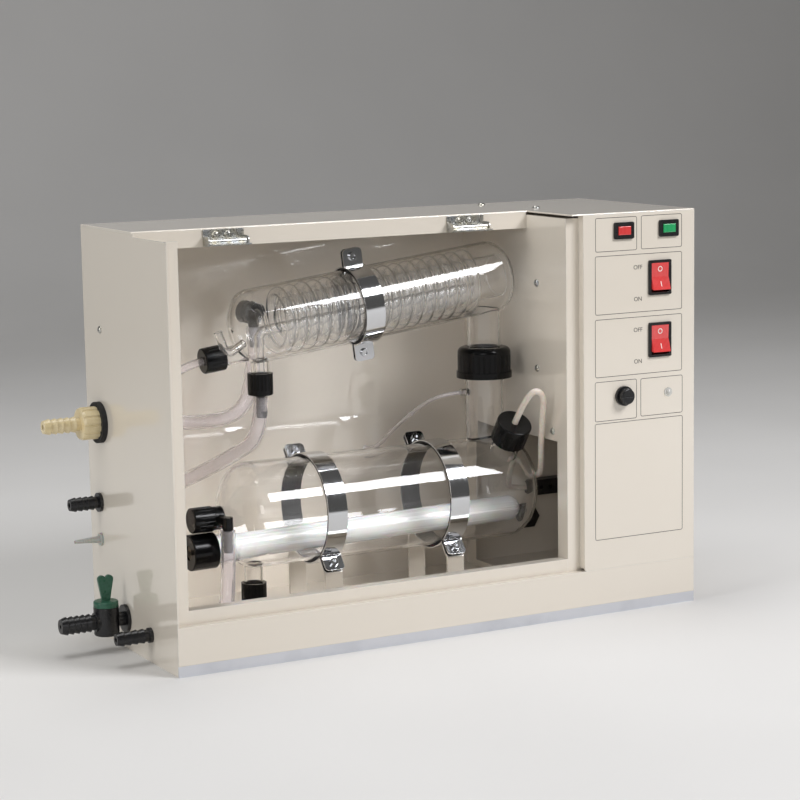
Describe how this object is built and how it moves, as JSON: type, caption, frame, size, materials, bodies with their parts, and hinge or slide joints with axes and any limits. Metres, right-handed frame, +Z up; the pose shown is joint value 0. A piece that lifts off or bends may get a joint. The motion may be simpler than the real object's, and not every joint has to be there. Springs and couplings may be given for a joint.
{
  "type": "glass water distiller",
  "caption": "Bench water distiller: a cream steel cabinet, open in front, with a glass boiler, a sloping coil condenser, hoses, a drain tap and a switch panel.",
  "frame": {"origin": "centre of the cabinet's base, on the surface that it stands on", "axes": "+X to the right as the switch panel is faced, +Y towards the rear wall, +Z up"},
  "size_m": [0.6167, 0.2282, 0.3904],
  "materials": {
    "enamel": "glossy cream stoved enamel",
    "bare_steel": "bare satin sheet steel",
    "zinc_plate": "bright zinc plating",
    "chrome": "bright chrome plating",
    "borosilicate": "clear blown laboratory glass",
    "quartz": "milky fused quartz",
    "element": "dull heater winding and nickel pins",
    "cap_black": "moulded black heat-proof plastic",
    "plastic_black": "moulded black plastic",
    "rubber_black": "black rubber",
    "pvc_clear": "clear soft tube with a faint pink tint",
    "silicone_white": "white silicone",
    "nylon_cream": "cream nylon",
    "plastic_milky": "milky plastic",
    "plastic_green": "green plastic",
    "lens_red": "see-through red plastic",
    "lens_green": "see-through green plastic",
    "lens_clear": "see-through clear plastic"
  },
  "bodies": {
    "cabinet": {"base_tray": "bare_steel", "floor_pan": "enamel", "left_panel": "enamel", "right_panel": "enamel", "rear_panel": "enamel", "top_panel": "enamel", "front_frame": "enamel", "lower_front_panel": "enamel", "partition": "enamel", "control_panel": "enamel", "case_screws": "zinc_plate", "neon_bezels": "plastic_black", "neon_lens_red": "lens_red", "neon_lens_green": "lens_green", "rocker_bezels": "plastic_black", "fuse_holder": "plastic_black", "indicator_lamp": "lens_clear", "boiler_vessel": "borosilicate", "heater_sheath": "quartz", "heater_element": "element", "heater_cap": "cap_black", "boiler_neck_cap": "cap_black", "riser_seal": "silicone_white", "riser_cap": "cap_black", "small_screw_caps": "cap_black", "hose_collars": "cap_black", "outlet_barb": "plastic_black", "drain_elbow": "plastic_black", "condenser_jacket": "borosilicate", "condenser_core": "borosilicate", "condenser_coil": "borosilicate", "coil_return_tube": "borosilicate", "boiler_clamp_bands": "chrome", "condenser_clamp_bands": "chrome", "clamp_linings": "rubber_black", "clamp_fasteners": "chrome", "boiler_supports": "enamel", "condenser_bracket": "rubber_black", "inlet_washer": "rubber_black", "inlet_union": "nylon_cream", "hose_ports": "plastic_black", "product_port": "plastic_milky", "tap_body": "plastic_black", "inlet_hose": "pvc_clear", "return_hose": "pvc_clear", "level_hose": "pvc_clear", "drain_hose": "pvc_clear", "product_tube": "pvc_clear", "silicone_sleeve": "silicone_white", "balance_tube": "pvc_clear", "hinge_frames": "zinc_plate", "hinge_pins": "zinc_plate", "terminal_block": "plastic_black", "cable_gland": "plastic_black"},
    "tap_lever": {"tap_lever": "plastic_green"},
    "rocker_upper": {"rocker_upper": "lens_red"},
    "rocker_lower": {"rocker_lower": "lens_red"},
    "fuse_cap": {"fuse_cap": "plastic_black"},
    "hinge_leaf_left": {"hinge_leaf_left": "zinc_plate"},
    "hinge_leaf_right": {"hinge_leaf_right": "zinc_plate"}
  },
  "joints": [
    {"name": "tap_turn", "type": "hinge", "parent": "cabinet", "child": "tap_lever", "pos_m": [-0.2946, 0.02, 0.042], "axis": [0, 0, 1], "range_deg": [0, 90]},
    {"name": "rocker_upper_tilt", "type": "hinge", "parent": "cabinet", "child": "rocker_upper", "pos_m": [0.2343, -0.099, 0.3236], "axis": [1, 0, 0], "range_deg": [0, 16]},
    {"name": "rocker_lower_tilt", "type": "hinge", "parent": "cabinet", "child": "rocker_lower", "pos_m": [0.2343, -0.099, 0.2634], "axis": [1, 0, 0], "range_deg": [0, 16]},
    {"name": "fuse_cap_turn", "type": "hinge", "parent": "cabinet", "child": "fuse_cap", "pos_m": [0.1927, -0.103, 0.2118], "axis": [0, 1, 0], "range_deg": [0, 90]},
    {"name": "hinge_left_swing", "type": "hinge", "parent": "cabinet", "child": "hinge_leaf_left", "pos_m": [-0.186, -0.0325, 0.376], "axis": [-1, 0, 0], "range_deg": [0, 90]},
    {"name": "hinge_right_swing", "type": "hinge", "parent": "cabinet", "child": "hinge_leaf_right", "pos_m": [0.0655, -0.0325, 0.376], "axis": [-1, 0, 0], "range_deg": [0, 90]}
  ]
}
